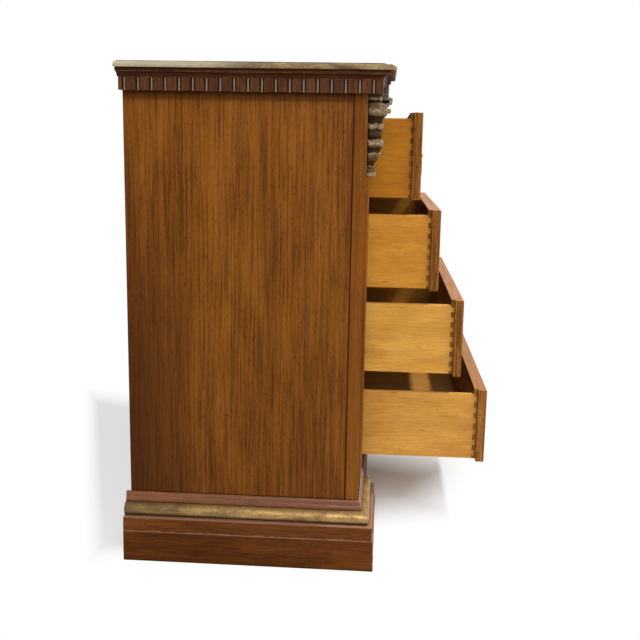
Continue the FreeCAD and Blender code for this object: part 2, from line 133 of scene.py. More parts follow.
# %% Soft lamps
LAMPS = (
    # name, place, the point that it faces, width of the square, power in watts
    ("side_lamp", (-2.7, -0.7, 1.9), (-0.6, -0.1, 0.6), 1.6, 46.0),
    ("fill_lamp", (-2.2, -2.6, 1.6), (-0.5, -0.3, 0.5), 1.6, 16.0),
    ("front_lamp", (0.0, -1.6, 2.7), (0.0, -0.35, 0.5), 0.2, 55.0),
)
for name, place, target, width, power in LAMPS:
    lamp_data = bpy.data.lights.new(name, "AREA")
    lamp_data.shape = "SQUARE"
    lamp_data.size = width
    lamp_data.energy = power
    lamp = bpy.data.objects.new(name, lamp_data)
    scene.collection.objects.link(lamp)
    aim = Vector(target) - Vector(place)
    lamp.matrix_world = Matrix.Translation(place) @ aim.to_track_quat("-Z", "Y").to_matrix().to_4x4()

# %% [markdown]
# The floor is a pale board under the chest. A floor that was only lit would look grey far away, and one that
# was only white would lose the shadow. So it keeps its own light and shadow close to the base and under the
# drawers, and what is seen of it turns white a short way off. The shadow ends along four slanting lines,
# each with a soft border. The helpers here start a material, read where a point lies, and stretch a value.

# %% Material helpers
def new_material(name):
    """Material with its node tree and its shader."""
    material = bpy.data.materials.new(name)
    material.use_nodes = True
    tree = material.node_tree
    return material, tree, tree.nodes["Principled BSDF"]


def axes_of(tree, kind):
    """X, Y and Z of a point's place, for Object, or of the way that it faces, for Normal."""
    coordinates = tree.nodes.new("ShaderNodeTexCoord")
    axes = tree.nodes.new("ShaderNodeSeparateXYZ")
    tree.links.new(coordinates.outputs[kind], axes.inputs[0])
    return axes.outputs


def add_range(tree, value, low, high, out_low=0.0, out_high=1.0):
    """Stretches a part of a value to new ends, and holds it there."""
    node = tree.nodes.new("ShaderNodeMapRange")
    node.interpolation_type = "SMOOTHSTEP"
    node.inputs["From Min"].default_value = low
    node.inputs["From Max"].default_value = high
    node.inputs["To Min"].default_value = out_low
    node.inputs["To Max"].default_value = out_high
    tree.links.new(value, node.inputs["Value"])
    return node.outputs["Result"]


print("material helpers ready")

# %% Floor board
FLOOR_WIDTH = 14.0
bpy.ops.object.select_all(action="DESELECT")
bpy.ops.mesh.primitive_plane_add(size=FLOOR_WIDTH, location=(0.0, 0.0, 0.0))
floor = bpy.context.object
floor.name = "pale_floor"
floor_paint, tree, shader = new_material("pale_floor_paint")
shader.inputs["Base Color"].default_value = (0.88, 0.92, 0.945, 1.0)
shader.inputs["Roughness"].default_value = 0.9
shader.inputs["Specular IOR Level"].default_value = 0.0
floor.data.materials.append(floor_paint)
print("floor", floor.name)

# %% White away from the shadow
SHADOW_ENDS = (
    # axis, other axis, share of the other that slants the line, where the white starts, where it is full
    ("Y", "X", -0.33, 0.42, 0.54),   # behind the chest
    ("Y", "X", 0.35, -0.37, -0.62),  # in front of the drawers
    ("X", "Y", 0.4, -0.33, -0.57),   # on the near side
    ("X", "Y", -0.35, -0.04, 0.42),  # on the far side
)
FRONT_Y, BACK_Y = -0.15, 0.25
FRONT_WHITE_SHARE, BACK_WHITE_SHARE = 0.04, 0.6
place = axes_of(tree, "Object")
white_share = add_range(tree, place["Y"], FRONT_Y, BACK_Y, FRONT_WHITE_SHARE, BACK_WHITE_SHARE)
for axis, other, slant_share, start, full in SHADOW_ENDS:
    slanting = add_math(tree, "ADD", place[axis], add_math(tree, "MULTIPLY", place[other], slant_share))
    white_share = add_math(tree, "MAXIMUM", white_share, add_range(tree, slanting, start, full))
floor_white = tree.nodes.new("ShaderNodeEmission")
floor_white.inputs["Strength"].default_value = SHOWN_WHITE
floor_mix = tree.nodes.new("ShaderNodeMixShader")
tree.links.new(add_math(tree, "MULTIPLY", seen_rays(tree), white_share), floor_mix.inputs[0])
tree.links.new(shader.outputs[0], floor_mix.inputs[1])
tree.links.new(floor_white.outputs[0], floor_mix.inputs[2])
tree.links.new(floor_mix.outputs[0], tree.nodes["Material Output"].inputs["Surface"])
print("shadow ends", len(SHADOW_ENDS))

# %% [markdown]
# Real veneer shows slow bands of lighter and darker wood, fine streaks along the grain, short dark pores,
# clouds where the stain went in deeper, and here and there a mineral mark. A picture of wood would give
# them, but it could not follow every board. So they are noise that is drawn out along the grain, kept in one
# node group that every wood uses. Vector is drawn out a long way and Place a little. Their sum lies between
# them, which suits the pores.

# %% Group helpers
def new_group(name, inputs, outputs):
    """Empty shader node group with its named sockets."""
    group = bpy.data.node_groups.new(name, "ShaderNodeTree")
    for label, kind in inputs:
        group.interface.new_socket(label, in_out="INPUT", socket_type=kind)
    for label in outputs:
        group.interface.new_socket(label, in_out="OUTPUT", socket_type="NodeSocketFloat")
    entry = group.nodes.new("NodeGroupInput")
    exit_node = group.nodes.new("NodeGroupOutput")
    return group, entry.outputs, exit_node.inputs


def add_noise(tree, vector, scale, detail=3.0, roughness=0.6, distortion=0.0):
    """Noise at the places that a vector gives."""
    noise = tree.nodes.new("ShaderNodeTexNoise")
    noise.inputs["Scale"].default_value = scale
    noise.inputs["Detail"].default_value = detail
    noise.inputs["Roughness"].default_value = roughness
    noise.inputs["Distortion"].default_value = distortion
    tree.links.new(vector, noise.inputs["Vector"])
    return noise.outputs["Fac"]


print("group helpers ready")

# %% Grain group
grain_group, grain_in, grain_out = new_group(
    "wood_grain", [("Vector", "NodeSocketVector"), ("Place", "NodeSocketVector")],
    ["Bands", "Streaks", "Pores", "Stain", "Minerals"])
along_grain = grain_in["Vector"]
half_way = grain_group.nodes.new("ShaderNodeVectorMath")
half_way.operation = "ADD"
grain_group.links.new(along_grain, half_way.inputs[0])
grain_group.links.new(grain_in["Place"], half_way.inputs[1])
slow_bands = add_noise(grain_group, along_grain, 30.0, detail=5.0, roughness=0.65, distortion=0.3)
fine_streaks = add_noise(grain_group, along_grain, 340.0, distortion=0.05)
short_pores = add_noise(grain_group, half_way.outputs["Vector"], 210.0, detail=2.0, roughness=0.5)
mineral_marks = add_noise(grain_group, along_grain, 420.0, detail=2.0, roughness=0.5)
stain_clouds = add_noise(grain_group, grain_in["Place"], 17.0, detail=5.0, distortion=0.3)
GRAIN_PARTS = (
    # output, its noise, value of the noise where it starts, value where it is full
    ("Bands", slow_bands, 0.3, 0.7),
    ("Streaks", fine_streaks, 0.4, 0.64),
    ("Pores", short_pores, 0.58, 0.70),
    ("Stain", stain_clouds, 0.36, 0.64),
    ("Minerals", mineral_marks, 0.70, 0.75),
)
for label, noise, start, full in GRAIN_PARTS:
    grain_group.links.new(add_range(grain_group, noise, start, full), grain_out[label])
print("grain group", len(grain_group.nodes), "nodes")

# %% [markdown]
# Hands and years rub the edges pale and leave dirt in the corners, and painted shade darkens the corners
# too. On a mesh with many small faces this could be painted on its points. These boards have few, so the
# edge is found by rounding the normal there, and the corner by how little open air is around it.

# %% Wear and shade group
EDGE_WIDTH = 0.002
SHARP_EDGE, FLAT_FACE = 0.80, 0.985
DIRT_AND_SHADE_REACH = 0.012
SHUT_CORNER, OPEN_FACE = 0.35, 0.9
wear_and_shade_group, wear_and_shade_in, wear_and_shade_out = new_group(
    "edge_wear_dirt_and_shade", [("Vector", "NodeSocketVector"), ("Edge Width", "NodeSocketFloat")],
    ["Worn Edge", "Dirt And Shade"])
rounded = wear_and_shade_group.nodes.new("ShaderNodeBevel")
rounded.samples = 6
wear_and_shade_group.links.new(wear_and_shade_in["Edge Width"], rounded.inputs["Radius"])
surface = wear_and_shade_group.nodes.new("ShaderNodeNewGeometry")
likeness = wear_and_shade_group.nodes.new("ShaderNodeVectorMath")
likeness.operation = "DOT_PRODUCT"
wear_and_shade_group.links.new(rounded.outputs["Normal"], likeness.inputs[0])
wear_and_shade_group.links.new(surface.outputs["Normal"], likeness.inputs[1])
edge = add_range(wear_and_shade_group, likeness.outputs["Value"], SHARP_EDGE, FLAT_FACE, 1.0, 0.0)
# Darker where little open air is around a point: dirt, and painted shade in corners and hollows.
open_air = wear_and_shade_group.nodes.new("ShaderNodeAmbientOcclusion")
open_air.samples = 8
open_air.inputs["Distance"].default_value = DIRT_AND_SHADE_REACH
dirt_and_shade = add_range(wear_and_shade_group, open_air.outputs["AO"], SHUT_CORNER, OPEN_FACE, 1.0, 0.0)
outside_edge = add_math(wear_and_shade_group, "MULTIPLY", edge, add_math(wear_and_shade_group, "SUBTRACT", 1.0, dirt_and_shade))
rub = add_range(wear_and_shade_group, add_noise(wear_and_shade_group, wear_and_shade_in["Vector"], 45.0, detail=4.0), 0.4, 0.62)
wear_and_shade_group.links.new(add_math(wear_and_shade_group, "MULTIPLY", outside_edge, rub), wear_and_shade_out["Worn Edge"])
wear_and_shade_group.links.new(dirt_and_shade, wear_and_shade_out["Dirt And Shade"])
print("wear group", len(wear_and_shade_group.nodes), "nodes")

# %% [markdown]
# Every wood of the chest is stained, lacquered and rubbed in the same way, with other values: which way the
# grain runs, three tones, how dark the streaks are, and how much the edges are rubbed. Each could be wired
# by itself, but then a change would have to be made in all of them. So one function writes the recipe, and
# each wood says only what is its own. It lays tints over a ground colour one after another, as a finisher
# does.

# %% Tint helpers
def add_mix(tree, factor, first, second):
    """Mixes two colours, given as sockets or as values."""
    node = tree.nodes.new("ShaderNodeMix")
    node.data_type = "RGBA"
    tree.links.new(factor, node.inputs["Factor"])
    for label, value in (("A", first), ("B", second)):
        socket = next(s for s in node.inputs if s.name == label and s.type == "RGBA")
        if isinstance(value, tuple):
            socket.default_value = value
        else:
            tree.links.new(value, socket)
    return next(s for s in node.outputs if s.type == "RGBA")


def lay_over(tree, colour, mask, strength, tint):
    """Lays a tint over a colour where a mask lets it."""
    return add_mix(tree, add_math(tree, "MULTIPLY", mask, strength), colour, tint)


def shaded(colour, red_share, green_share, blue_share):
    """Colour whose parts are taken up or down by shares."""
    parts = zip(colour, (red_share, green_share, blue_share))
    return tuple(min(part * share, 1.0) for part, share in parts) + (1.0,)


print("tint helpers ready")

# %% Grain and bump helpers
def add_group(tree, group, **values):
    """Places a group in a material and gives its inputs their values. Returns its outputs."""
    node = tree.nodes.new("ShaderNodeGroup")
    node.node_tree = group
    for label, value in values.items():
        socket = node.inputs[label.replace("_", " ")]
        if isinstance(value, (int, float)):
            socket.default_value = value
        else:
            tree.links.new(value, socket)
    return node.outputs


def stretched(tree, vector, grain, share, offset=(0.0, 0.0, 0.0)):
    """Places drawn together along the axes of the grain, so that noise there turns into long streaks."""
    node = tree.nodes.new("ShaderNodeMapping")
    node.inputs["Scale"].default_value = [share if axis in grain else 1.0 for axis in "xyz"]
    node.inputs["Location"].default_value = offset
    tree.links.new(vector, node.inputs["Vector"])
    return node.outputs["Vector"]


def add_bump(tree, shader, height, strength, distance):
    """Lets a height roughen the surface."""
    bump = tree.nodes.new("ShaderNodeBump")
    bump.inputs["Strength"].default_value = strength
    bump.inputs["Distance"].default_value = distance
    tree.links.new(height, bump.inputs["Height"])
    tree.links.new(bump.outputs["Normal"], shader.inputs["Normal"])


print("grain and bump helpers ready")

# %% Wood recipe
SHORT_GRAIN_SHARE = 0.06
CLOUD_SHARE = 0.4
REDDER_SHARES = (0.78, 0.66, 0.6)
DEEP_SHARES = (0.12, 0.12, 0.12)
CLEAR_STREAK_SHARE, CLOUDED_STREAK_SHARE = 0.8, 1.1
UPPER_SHARE = 0.72
SMOOTHER, ROUGHER = 0.06, 0.12
PORE_STRENGTH, PORE_DEPTH = 0.18, 0.0006


def wood(name, grain, light, middle, dark, worn, streak=0.5, rubbed=0.6, dirt_and_shade_share=0.8, gloss=0.42, shine=0.05,
         blotch=0.5, edge=EDGE_WIDTH, upper=None, face_grain=None, mineral=0.0,
         grain_share=SHORT_GRAIN_SHARE, offset=(0.0, 0.0, 0.0)):
    """Stained and lacquered wood. grain names the axes that the grain runs along, face_grain those on faces
    that look to the front, and grain_share says how far it is drawn out. upper tints faces that look up with
    painted light from above."""
    material, tree, shader = new_material(name)
    shader.inputs["Specular IOR Level"].default_value = shine
    places = tree.nodes.new("ShaderNodeTexCoord").outputs["Object"]
    facing = axes_of(tree, "Normal")
    along = stretched(tree, places, grain, grain_share, offset)
    if face_grain:
        to_front = add_range(tree, add_math(tree, "ABSOLUTE", facing["Y"]), 0.6, 0.8)
        along = add_mix(tree, to_front, along, stretched(tree, places, face_grain, grain_share, offset))
    clouds = stretched(tree, places, grain, CLOUD_SHARE, offset)
    figure = add_group(tree, grain_group, Vector=along, Place=clouds)
    wear_and_shade = add_group(tree, wear_and_shade_group, Vector=places, Edge_Width=edge)
    deep = shaded(dark, *DEEP_SHARES)
    gathered = add_range(tree, figure["Stain"], 0.0, 1.0, streak * CLEAR_STREAK_SHARE,
                         streak * CLOUDED_STREAK_SHARE)
    colour = add_mix(tree, figure["Bands"], middle, light)
    colour = lay_over(tree, colour, figure["Stain"], blotch, shaded(middle, *REDDER_SHARES))
    colour = lay_over(tree, colour, figure["Streaks"], gathered, dark)
    colour = lay_over(tree, colour, figure["Pores"], gathered, dark)
    if mineral:
        colour = lay_over(tree, colour, figure["Minerals"], mineral, deep)
    # Painted light from above on faces that look up.
    if upper:
        colour = add_mix(tree, add_range(tree, facing["Z"], 0.5, 0.9, 0.0, UPPER_SHARE), colour, upper)
    colour = lay_over(tree, colour, wear_and_shade["Worn Edge"], rubbed, worn)
    # Dirt and painted shade in the corners.
    colour = lay_over(tree, colour, wear_and_shade["Dirt And Shade"], dirt_and_shade_share, deep)
    tree.links.new(colour, shader.inputs["Base Color"])
    roughness = add_range(tree, figure["Streaks"], 0.0, 1.0, gloss - SMOOTHER, gloss + ROUGHER)
    tree.links.new(roughness, shader.inputs["Roughness"])
    height = add_math(tree, "SUBTRACT", figure["Streaks"], figure["Pores"])
    add_bump(tree, shader, height, PORE_STRENGTH, PORE_DEPTH)
    return material


print("wood recipe ready")

# %% [markdown]
# The sides and the pilasters are veneer with an upright grain, and the top and the rails have it along the
# chest. The veneers have long fine streaks. The mouldings are solid wood, stained darker and rubbed through
# on their edges. Their tones could be written as the shader's linear values, but those are hard to picture.
# So they are written as a screen shows them, from 0 to 255, and a helper turns them into linear values.

# %% Veneers
LONG_GRAIN_SHARE = 0.022


def tone(red, green, blue):
    """Colour written in screen values, as the shader's linear values."""
    def linear(value):
        """One screen value, by the standard curve of a screen."""
        share = value / 255.0
        return share / 12.92 if share <= 0.04045 else ((share + 0.055) / 1.055) ** 2.4
    return (linear(red), linear(green), linear(blue), 1.0)


RUBBED = tone(188, 140, 112)
upright = dict(light=tone(138, 84, 26), middle=tone(115, 65, 17), dark=tone(58, 26, 7), worn=RUBBED,
               grain_share=LONG_GRAIN_SHARE)
side_veneer = wood("side_veneer", "z", streak=0.58, rubbed=0.3, blotch=0.36, **upright)
pilaster_wood = wood("pilaster_wood", "z", streak=0.4, rubbed=0.35, dirt_and_shade_share=0.2, offset=(0.7, 0.3, 0.0),
                     **upright)
long_veneer = wood("long_veneer", "x", streak=0.6, rubbed=0.4, **upright)
print("veneers", side_veneer.name, pilaster_wood.name, long_veneer.name)

# %% Solid woods of the case
# Painted sheen on the upper faces and edges of the step and plinth, mixed with their real rubbed wear.
SHEEN_AND_WEAR = tone(176, 128, 104)
BASE_EDGE = 0.004
cornice_wood = wood("cornice_wood", "y", streak=0.45, rubbed=0.4, light=tone(80, 42, 15),
                    middle=tone(63, 31, 10), dark=tone(36, 15, 5), worn=RUBBED)
plinth_wood = wood("plinth_wood", "y", streak=0.45, rubbed=0.9, dirt_and_shade_share=0.4, edge=BASE_EDGE, upper=SHEEN_AND_WEAR,
                   light=tone(113, 63, 20), middle=tone(88, 46, 12), dark=tone(46, 20, 6), worn=SHEEN_AND_WEAR)
step_wood = wood("step_wood", "y", streak=0.45, rubbed=0.9, dirt_and_shade_share=0.3, edge=BASE_EDGE, upper=SHEEN_AND_WEAR,
                 light=tone(119, 69, 28), middle=tone(95, 53, 20), dark=tone(56, 26, 10), worn=SHEEN_AND_WEAR)
ogee_wood = wood("ogee_wood", "y", streak=0.4, rubbed=0.8, shine=0.3, gloss=0.3, light=tone(138, 84, 46),
                 middle=tone(114, 66, 34), dark=tone(76, 38, 20), worn=tone(214, 172, 142))
plain_wood = wood("plain_wood", "x", streak=0.5, rubbed=0.2, light=tone(150, 116, 78),
                  middle=tone(128, 96, 62), dark=tone(88, 60, 36), worn=tone(176, 144, 104))
print("solid woods", cornice_wood.name, plinth_wood.name, step_wood.name, ogee_wood.name, plain_wood.name)

# %% Dress the case
def dress(material, *names):
    """Gives CAD nodes one material."""
    for name in names:
        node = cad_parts[name]
        node.data.materials.clear()
        node.data.materials.append(material)
    print(material.name, "on", len(names), "nodes")


dress(side_veneer, "left_side_panel", "right_side_panel")
dress(pilaster_wood, "left_pilaster", "right_pilaster", "left_frame_stile", "right_frame_stile")
dress(long_veneer, "top_board", "top_rail", "upper_drawer_rail", "middle_drawer_rail", "lower_drawer_rail",
      "bottom_rail")
dress(cornice_wood, "cornice_moulding", "cornice_fascia", "frieze_board")
dress(plinth_wood, "plinth_board")
dress(step_wood, "plinth_step")
dress(ogee_wood, "base_ogee")
dress(plain_wood, "left_partition", "right_partition", "left_runners", "right_runners", "back_panel",
      "case_bottom", "floor_bearers")

# %% [markdown]
# The sides are darker towards the floor, most of all at the back, and a little towards the front. Just under
# the cornice a band of painted shadow stands for the cornice's shadow. A dark line of glaze lies in the
# joint between the side and its front stile. This could be painted on a finer mesh, but all of it follows
# from where a point lies. So a tone is mixed into the finish by the point's depth and height.

# %% Tone by place
# Used for stains and joints, and also for painted shadow, painted shade and a painted reflection.
def tone_by_place(material, added_tone, amount_at):
    """Mixes a tone into a finish by the amount that a function makes from the place of each point."""
    tree = material.node_tree
    base_colour = tree.nodes["Principled BSDF"].inputs["Base Color"]
    finish = base_colour.links[0].from_socket
    amount = amount_at(tree, axes_of(tree, "Object"))
    tree.links.new(add_mix(tree, amount, finish, added_tone), base_colour)


print("stain helper ready")

# %% Darker sides and painted shadow under the cornice
LINE_CORE, LINE_WIDTH, LINE_SHARE = 0.001, 0.0028, 0.8
LOW_FROM, LOW_FULL = 0.9, 0.3
BACK_FROM, BACK_FULL = 0.04, 0.22
LEAST_BACK_SHARE, MOST_BACK_SHARE = 0.1, 0.75
FRONT_FROM, FRONT_FULL, FRONT_SHARE = 0.15, -0.15, 0.08
CORNICE_SHADOW_FROM, CORNICE_SHADOW_FULL, CORNICE_SHADOW_SHARE = 0.019, 0.012, 0.45
dentil_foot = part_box("dentil_band")[0][2]
joint_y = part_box("left_pilaster")[1][1]


def joint_line(tree, place):
    """Dark close to the joint of the side and its stile."""
    from_joint = add_math(tree, "ABSOLUTE", add_math(tree, "SUBTRACT", place["Y"], joint_y))
    return add_range(tree, from_joint, LINE_CORE, LINE_WIDTH, LINE_SHARE, 0.0)


def side_darkening_and_shadow(tree, place):
    """Darker low at the back and towards the front, painted shadow under the cornice, dark in the joint."""
    lower = add_range(tree, place["Z"], LOW_FROM, LOW_FULL)
    further_back = add_range(tree, place["Y"], BACK_FROM, BACK_FULL, LEAST_BACK_SHARE, MOST_BACK_SHARE)
    lower_back = add_math(tree, "MULTIPLY", lower, further_back)
    # Painted shadow of the cornice, in a band just under the dentils.
    cornice_shadow_start, cornice_shadow_full = dentil_foot - CORNICE_SHADOW_FROM, dentil_foot - CORNICE_SHADOW_FULL
    cornice_shadow = add_range(tree, place["Z"], cornice_shadow_start, cornice_shadow_full, 0.0, CORNICE_SHADOW_SHARE)
    towards_front = add_range(tree, place["Y"], FRONT_FROM, FRONT_FULL, 0.0, FRONT_SHARE)
    darker_and_shadowed = add_math(tree, "ADD", add_math(tree, "MAXIMUM", lower_back, cornice_shadow), towards_front)
    return add_math(tree, "MAXIMUM", darker_and_shadowed, joint_line(tree, place))


tone_by_place(side_veneer, upright["dark"], side_darkening_and_shadow)
tone_by_place(pilaster_wood, upright["dark"], joint_line)
print("foot of the dentils", round(dentil_foot, 4), "joint", round(joint_y, 4))

# %% [markdown]
# The dentil band is stained like the cornice, but the thin reeds between its blocks are paler grey.
# The reeds could be cut off and painted by themselves. They all stand on the middle line of a groove, below
# the face of the band, so the material finds them by their place and turns pale there.

# %% Dentil wood
dentil_wood = wood("dentil_wood", "z", streak=0.45, rubbed=0.15, light=tone(94, 56, 31),
                   middle=tone(75, 43, 22), dark=tone(40, 20, 10), worn=RUBBED)
dress(dentil_wood, "dentil_band")
band_low, band_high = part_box("dentil_band")
print("dentil wood", dentil_wood.name, "band", [round(v, 4) for v in band_high])

# %% Grey reeds
PITCH = 0.0254
SIDE_FIRST_REED = 0.011
FRONT_FIRST_REED = 0.0185
REED_HALF = 0.0015
SUNK_LEAST, SUNK_MOST = 0.001, 0.007
SPARE_TURNS = 200
GREY_SHARE = 0.55


def reed_lines(tree, place, start):
    """One on the middle lines of the grooves, none between them. Spare turns keep the count above zero."""
    count = add_math(tree, "DIVIDE", add_math(tree, "SUBTRACT", place, start), PITCH)
    turns = add_math(tree, "FRACT", add_math(tree, "ADD", count, SPARE_TURNS + 0.5))
    off_line = add_math(tree, "ABSOLUTE", add_math(tree, "SUBTRACT", turns, 0.5))
    return add_math(tree, "LESS_THAN", off_line, REED_HALF / PITCH)


def sunk(tree, depth):
    """One where the wood lies a little below the face of the band."""
    below = add_math(tree, "GREATER_THAN", depth, SUNK_LEAST)
    return add_math(tree, "MULTIPLY", below, add_math(tree, "LESS_THAN", depth, SUNK_MOST))


def reed_places(tree, place):
    """Some on the reeds of the sides and of the fronts, none elsewhere."""
    across = add_math(tree, "ABSOLUTE", place["X"])
    side_lines = reed_lines(tree, place["Y"], band_high[1] - SIDE_FIRST_REED)
    front_lines = reed_lines(tree, across, band_high[0] - FRONT_FIRST_REED)
    side_depth = add_math(tree, "SUBTRACT", band_high[0], across)
    front_depth = add_math(tree, "SUBTRACT", place["Y"], band_low[1])
    side_reeds = add_math(tree, "MULTIPLY", side_lines, sunk(tree, side_depth))
    front_reeds = add_math(tree, "MULTIPLY", front_lines, sunk(tree, front_depth))
    return add_math(tree, "MULTIPLY", add_math(tree, "MAXIMUM", side_reeds, front_reeds), GREY_SHARE)


tone_by_place(dentil_wood, tone(150, 138, 122), reed_places)
print("a grey reed every", PITCH * 1000, "mm")

# %% [markdown]
# The edge of the top and the round base moulding are gilded. Old gold leaf is worn to brown on its high
# places and dull in its hollows, where painted shade darkens it too. It could be one metal with a stained
# colour, but then the bare wood would shine too. So the gold is mixed with umber by noise, and only the gold
# is metal. The back half of the top edge is painted pale almost to silver, as a painted reflection, and the
# base moulding is darker towards the back. Both are again places on the chest.

# %% Gilding recipe
LEVEL_SHARE = 0.3
LEAF_BORDER = 0.18
SPECK_SHARE = 0.5
HOLLOW_DIRT_AND_SHADE = 0.85
BARE_ROUGHNESS, LEAF_ROUGHNESS = 0.5, 0.32
LEAF_STRENGTH, LEAF_DEPTH = 0.25, 0.0008


def gilding(name, gold, umber, worn_share, metal=0.45):
    """Gold leaf or brass, partly worn or tarnished to brown."""
    material, tree, shader = new_material(name)
    shader.inputs["Specular IOR Level"].default_value = 0.3
    places = tree.nodes.new("ShaderNodeTexCoord").outputs["Object"]
    wear_and_shade = add_group(tree, wear_and_shade_group, Vector=places, Edge_Width=EDGE_WIDTH)
    level = stretched(tree, places, "xy", LEVEL_SHARE)
    clouds = add_noise(tree, level, 70.0, detail=6.0, roughness=0.66, distortion=0.4)
    leaf = add_range(tree, clouds, worn_share - LEAF_BORDER, worn_share + LEAF_BORDER)
    specks = add_range(tree, add_noise(tree, places, 220.0), 0.5, 0.62)
    unbroken = add_math(tree, "SUBTRACT", 1.0, add_math(tree, "MULTIPLY", specks, SPECK_SHARE))
    leaf = add_math(tree, "MULTIPLY", leaf, unbroken)
    # Dark patina and painted shade in the hollows.
    colour = lay_over(tree, add_mix(tree, leaf, umber, gold), wear_and_shade["Dirt And Shade"], HOLLOW_DIRT_AND_SHADE, tone(28, 16, 8))
    tree.links.new(colour, shader.inputs["Base Color"])
    tree.links.new(add_math(tree, "MULTIPLY", leaf, metal), shader.inputs["Metallic"])
    roughness = add_range(tree, leaf, 0.0, 1.0, BARE_ROUGHNESS, LEAF_ROUGHNESS)
    tree.links.new(roughness, shader.inputs["Roughness"])
    add_bump(tree, shader, clouds, LEAF_STRENGTH, LEAF_DEPTH)
    return material


print("gilding recipe ready")

# %% Gilded mouldings
REFLECTION_FROM, REFLECTION_FULL, REFLECTION_SHARE = -0.06, 0.12, 0.4
DARKER_BACK_FROM, DARKER_BACK_FULL, DARKER_BACK_SHARE = 0.02, 0.25, 0.6


def painted_reflection_back(tree, place):
    """Painted reflection: more towards the back of the top edge."""
    return add_range(tree, place["Y"], REFLECTION_FROM, REFLECTION_FULL, 0.0, REFLECTION_SHARE)


def darker_back(tree, place):
    """More towards the back of the base moulding."""
    return add_range(tree, place["Y"], DARKER_BACK_FROM, DARKER_BACK_FULL, 0.0, DARKER_BACK_SHARE)


edge_gilding = gilding("edge_gilding", tone(168, 140, 92), tone(86, 62, 32), 0.52)
# Painted reflection, pale almost to silver, on the back half of the top edge.
tone_by_place(edge_gilding, tone(214, 204, 182), painted_reflection_back)
torus_gilding = gilding("torus_gilding", tone(176, 140, 84), tone(104, 76, 38), 0.48)
tone_by_place(torus_gilding, tone(62, 48, 24), darker_back)
dress(edge_gilding, "top_edge_moulding")
dress(torus_gilding, "base_torus")
print("gilding", edge_gilding.name, torus_gilding.name)

# %% [markdown]
# The drawer boxes are maple under clear lacquer, with a level grain and a few dark mineral marks, and the
# inside of their sides is darkened with painted shade. One maple could serve all four, but each drawer has
# its own tone, the top one darkest, and its own place in the noise. The inside is found by the way it faces.

# %% Maple
DRAWERS = ("top_drawer", "upper_drawer", "lower_drawer", "bottom_drawer")
MAPLE_TONES = (tone(170, 110, 30), tone(193, 134, 50), tone(201, 149, 67), tone(195, 142, 66))
BOARD_SHIFT = Vector((0.37, 0.61, 0.83))
INNER_SHADE_FROM, INNER_SHADE_FULL, INNER_SHADE_SHARE = -0.05, -0.15, 0.4
LIGHTER_SHARES = (1.18, 1.18, 1.18)
DARKER_SHARES = (0.6, 0.48, 0.36)


def painted_inner_shade(tree, place):
    """Painted shade, some on faces that look towards the middle of the chest and none on those that look
    away.
    """
    outwards = add_math(tree, "MULTIPLY", place["X"], axes_of(tree, "Normal")["X"])
    return add_range(tree, outwards, INNER_SHADE_FROM, INNER_SHADE_FULL, 0.0, INNER_SHADE_SHARE)


def maple(name, middle, offset):
    """Clear lacquered maple around one tone, with painted shade on the inside of the drawer."""
    light = shaded(middle, *LIGHTER_SHARES)
    dark = shaded(middle, *DARKER_SHARES)
    material = wood(name, "y", light=light, middle=middle, dark=dark, worn=light, streak=0.3, rubbed=0.3,
                    dirt_and_shade_share=0.5, gloss=0.4, mineral=0.7, offset=offset)
    # Painted shade on the inside of the sides.
    tone_by_place(material, tone(80, 46, 18), painted_inner_shade)
    return material


for count, (drawer, middle) in enumerate(zip(DRAWERS, MAPLE_TONES)):
    box_maple = maple(drawer + "_maple", middle, BOARD_SHIFT * count)
    dress(box_maple, drawer + "_sides", drawer + "_back", drawer + "_bottom")
print("maple for", len(DRAWERS), "drawers")

# %% [markdown]
# The fronts are glued up in thin layers, whose edges show as lines at the ends, and their upper edges are
# pale: partly the bare wood and partly painted light from above. The layers could be modelled as thin
# boards, but they are only seen as lines. So the grain of the fronts is drawn out along two axes at the ends
# and along one on the face, and an upper edge is found by the way it faces.

# %% Drawer fronts
def front_wood(name, offset):
    """Stained front whose upper edge is pale, partly bare wood and partly painted light from above."""
    return wood(name, "xz", face_grain="x", grain_share=LONG_GRAIN_SHARE, streak=0.62, rubbed=0.4, dirt_and_shade_share=0.1,
                light=tone(168, 113, 49), middle=tone(142, 90, 34), dark=tone(52, 26, 9),
                worn=tone(206, 160, 112), upper=tone(170, 117, 70), offset=offset)


for count, drawer in enumerate(DRAWERS):
    dress(front_wood(drawer + "_front_wood", BOARD_SHIFT * count), drawer + "_front")
print("front wood for", len(DRAWERS), "drawers")

# %% [markdown]
# The pulls are aged brass: bright where fingers rub them and brown in the hollows of the turned plate.
# Brass could have a recipe of its own, but it wears as gilding does, so it is gilding with more metal in it.

# %% Brass
brass = gilding("aged_brass", tone(190, 152, 86), tone(120, 84, 40), 0.4, metal=0.95)
for drawer in DRAWERS:
    dress(brass, drawer + "_rosettes", drawer + "_left_ring", drawer + "_right_ring")
print("brass pulls", len(DRAWERS) * 2)

# %% [markdown]
# The corbels are carved: a small leaf rolls out over a collar, a swelling band and a tapering tail.
# Their solid has the right profile but flat cheeks. It could be sculpted freely, but a table of levels is
# easier to read and to change. So a block is sawn across at each level, as a carver marks it, and each line
# is later drawn in or out on three sides.

